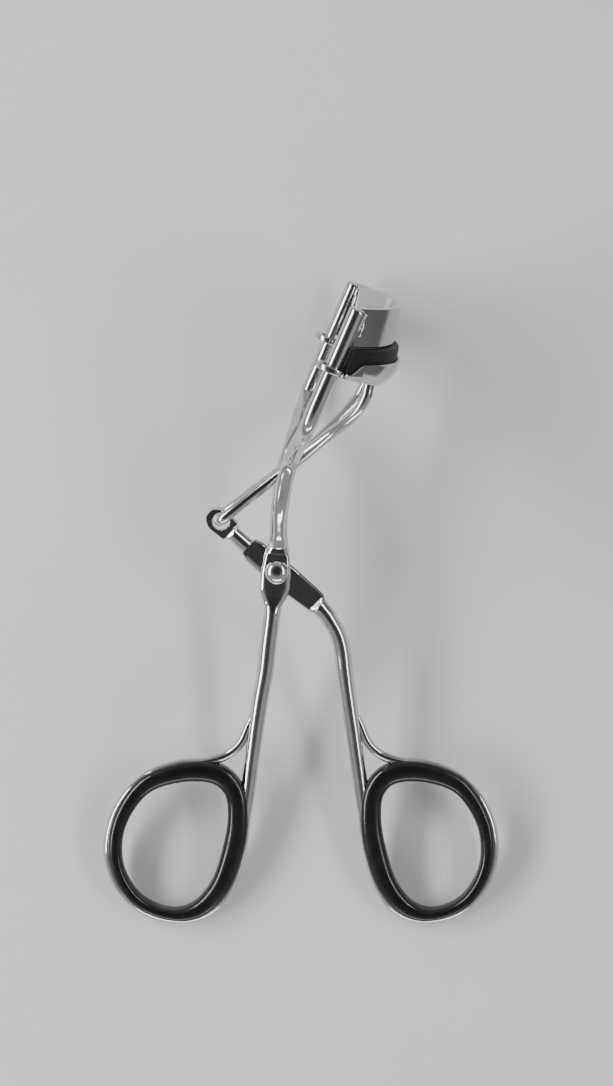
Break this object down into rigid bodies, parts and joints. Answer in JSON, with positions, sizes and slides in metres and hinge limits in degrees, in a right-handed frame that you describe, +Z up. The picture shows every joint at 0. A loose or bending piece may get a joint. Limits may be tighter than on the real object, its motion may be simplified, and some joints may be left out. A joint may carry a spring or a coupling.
{
  "type": "eyelash curler",
  "caption": "Scissor-action chromed eyelash curler with curved jaws on a two-rail frame, a soft pad in the sliding jaw and black finger grips.",
  "frame": {"origin": "middle of the foot of the box round the curler as it lies on a table, so z = 0 is the table top", "axes": "+Y from the finger loops towards the jaws, +X to the side of the moving handle's loop and the jaws' bulge, +Z up from the table; the pivot rivet's axis leans 11 degrees from +Z towards -Y"},
  "size_m": [0.0638, 0.1042, 0.0385],
  "materials": {
    "chrome_handles": "polished chrome plate on forged steel rod",
    "chrome_frame": "polished chrome plate on drawn wire",
    "chrome_sheet": "chrome plate on stamped sheet, slightly duller",
    "chrome_rivet": "mirror polished domed rivet",
    "grip_rubber": "glossy black moulded soft vinyl",
    "pad_rubber": "matte black silicone rubber"
  },
  "bodies": {
    "frame": {"fixed_handle": "chrome_handles", "left_grip": "grip_rubber", "pivot_rivet": "chrome_rivet", "near_rail": "chrome_frame", "far_rail": "chrome_frame", "upper_jaw": "chrome_sheet"},
    "moving_handle": {"moving_handle": "chrome_handles", "right_grip": "grip_rubber"},
    "lower_jaw": {"lower_jaw": "chrome_sheet", "pad": "pad_rubber", "near_guide": "chrome_sheet", "far_guide": "chrome_sheet", "link_fork": "chrome_frame"}
  },
  "joints": [
    {"name": "handle_pivot", "type": "hinge", "parent": "frame", "child": "moving_handle", "pos_m": [-0.00384, 0.00516, 0.01257], "axis": [0, -0.1908, 0.9816], "range_deg": [0, 32]},
    {"name": "jaw_slide", "type": "slide", "parent": "frame", "child": "lower_jaw", "axis": [0.3923, 0.9029, 0.1755], "range_m": [-0.0066, 0]}
  ],
  "couplings": [
    {"joint": "jaw_slide", "follows": "handle_pivot", "m_per_rad": -0.0118}
  ]
}
